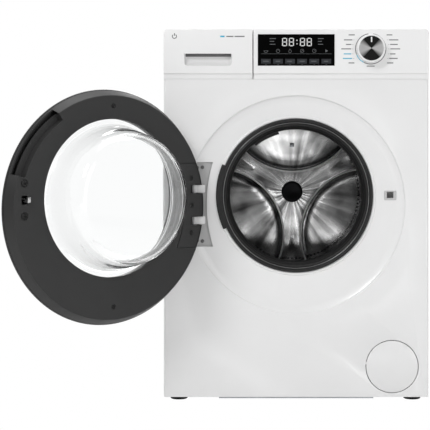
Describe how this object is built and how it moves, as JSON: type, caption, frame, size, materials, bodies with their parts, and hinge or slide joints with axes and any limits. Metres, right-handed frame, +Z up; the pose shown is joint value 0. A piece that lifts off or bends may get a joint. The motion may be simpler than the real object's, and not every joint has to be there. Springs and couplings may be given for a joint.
{
  "type": "front load washing machine",
  "caption": "Freestanding front loading washing machine with its round door open, a detergent drawer, a display, a turning selector and a hanging drum.",
  "frame": {"origin": "middle of the base of the whole machine's box, on the floor, with the door standing open as stored", "axes": "+Z up, +Y towards the back of the machine, +X to the right seen from the front, away from the open door"},
  "size_m": [0.9072, 0.8918, 0.845],
  "materials": {
    "painted_steel": "white enamel, satin",
    "white_plastic": "moulded, satin",
    "black_plastic": "moulded, fine grain",
    "display_glass": "gloss black",
    "door_window": "clear pressed glass",
    "rubber": "matte dark grey",
    "stainless_steel": "drawn and polished",
    "zinc_steel": "zinc plated",
    "aluminium": "die cast",
    "grey_plastic": "moulded",
    "ballast": "as cast",
    "circuit_board": "lacquered"
  },
  "bodies": {
    "root": {"base_frame": "zinc_steel", "left_side_panel": "painted_steel", "right_side_panel": "painted_steel", "rear_panel": "painted_steel", "rear_service_cover": "painted_steel", "top_panel": "white_plastic", "front_panel": "painted_steel", "control_fascia": "white_plastic", "display_window": "display_glass", "display_board": "circuit_board", "front_crossbar": "zinc_steel", "dispenser_housing": "grey_plastic", "inlet_valve": "grey_plastic", "dispenser_hose": "rubber", "hinge_bracket": "painted_steel", "hinge_pin": "zinc_steel", "door_lock": "grey_plastic", "drain_pump": "grey_plastic", "sump_hose": "rubber", "drain_outlet": "grey_plastic", "cable_gland": "black_plastic", "seal": "rubber", "suspension_spring_left": "zinc_steel", "suspension_spring_right": "zinc_steel", "damper_cylinder_left": "grey_plastic", "damper_cylinder_right": "grey_plastic"},
    "tub": {"tub_front": "grey_plastic", "tub_rear": "grey_plastic", "front_counterweight": "ballast", "top_counterweight": "ballast", "front_bearing": "stainless_steel", "rear_bearing": "stainless_steel", "heater": "stainless_steel", "motor_housing": "aluminium", "drive_belt": "rubber", "damper_rod_left": "zinc_steel", "damper_rod_right": "zinc_steel"},
    "drum": {"drum_shell": "stainless_steel", "drum_back": "stainless_steel", "lifter_1": "stainless_steel", "lifter_2": "stainless_steel", "lifter_3": "stainless_steel", "drum_spider": "aluminium", "drum_pulley": "aluminium"},
    "motor_rotor": {"motor_pulley": "zinc_steel"},
    "door": {"door_cover": "black_plastic", "door_inner_ring": "black_plastic", "door_glass": "door_window", "hinge_leaf": "zinc_steel", "hinge_cover": "black_plastic"},
    "latch": {"latch_hook": "zinc_steel"},
    "drawer": {"drawer_front": "white_plastic", "drawer_tray": "white_plastic"},
    "knob": {"selector_knob": "white_plastic"},
    "filter_flap": {"filter_cover": "white_plastic"},
    "filter_plug": {"filter_cap": "grey_plastic"},
    "foot_front_left": {"foot_front_left": "rubber"},
    "foot_front_right": {"foot_front_right": "rubber"},
    "foot_rear_left": {"foot_rear_left": "rubber"},
    "foot_rear_right": {"foot_rear_right": "rubber"}
  },
  "joints": [
    {"name": "tub_bounce", "type": "slide", "parent": "root", "child": "tub", "axis": [0, 0, 1], "range_m": [-0.008, 0.008], "deforming": ["suspension_spring_left", "suspension_spring_right", "dispenser_hose", "sump_hose", "seal"]},
    {"name": "drum_spin", "type": "hinge", "parent": "tub", "child": "drum", "pos_m": [0.15364, 0.23788, 0.468], "axis": [0, 1, 0], "continuous": true},
    {"name": "motor_spin", "type": "hinge", "parent": "tub", "child": "motor_rotor", "pos_m": [0.21364, 0.34088, 0.125], "axis": [0, 1, 0], "continuous": true},
    {"name": "door_hinge", "type": "hinge", "parent": "root", "child": "door", "pos_m": [-0.07536, -0.13412, 0.448], "axis": [0, 0, -1], "range_deg": [-141, 4]},
    {"name": "latch_pivot", "type": "hinge", "parent": "door", "child": "latch", "pos_m": [-0.41334, -0.42068, 0.468], "axis": [-0.7771, -0.6293, 0], "range_deg": [0, 7], "stiffness_Nm_per_rad": 0.3},
    {"name": "drawer_slide", "type": "slide", "parent": "root", "child": "drawer", "axis": [0, -1, 0], "range_m": [0, 0.21]},
    {"name": "knob_turn", "type": "hinge", "parent": "root", "child": "knob", "pos_m": [0.32204, -0.12612, 0.8], "axis": [0, -1, 0], "continuous": true},
    {"name": "filter_cover_hinge", "type": "hinge", "parent": "root", "child": "filter_flap", "pos_m": [0.37094, -0.11712, 0.0306], "axis": [1, 0, 0], "range_deg": [0, 95]},
    {"name": "filter_plug_turn", "type": "hinge", "parent": "root", "child": "filter_plug", "pos_m": [0.37094, -0.08612, 0.0806], "axis": [0, -1, 0], "range_deg": [0, 360]},
    {"name": "foot_front_left_turn", "type": "hinge", "parent": "root", "child": "foot_front_left", "pos_m": [-0.11436, -0.06412, 0.01], "axis": [0, 0, 1], "continuous": true},
    {"name": "foot_front_right_turn", "type": "hinge", "parent": "root", "child": "foot_front_right", "pos_m": [0.42164, -0.06412, 0.01], "axis": [0, 0, 1], "continuous": true},
    {"name": "foot_rear_left_turn", "type": "hinge", "parent": "root", "child": "foot_rear_left", "pos_m": [-0.11436, 0.37588, 0.01], "axis": [0, 0, 1], "continuous": true},
    {"name": "foot_rear_right_turn", "type": "hinge", "parent": "root", "child": "foot_rear_right", "pos_m": [0.42164, 0.37588, 0.01], "axis": [0, 0, 1], "continuous": true}
  ],
  "couplings": [
    {"joint": "motor_spin", "follows": "drum_spin", "ratio": 12.083}
  ]
}
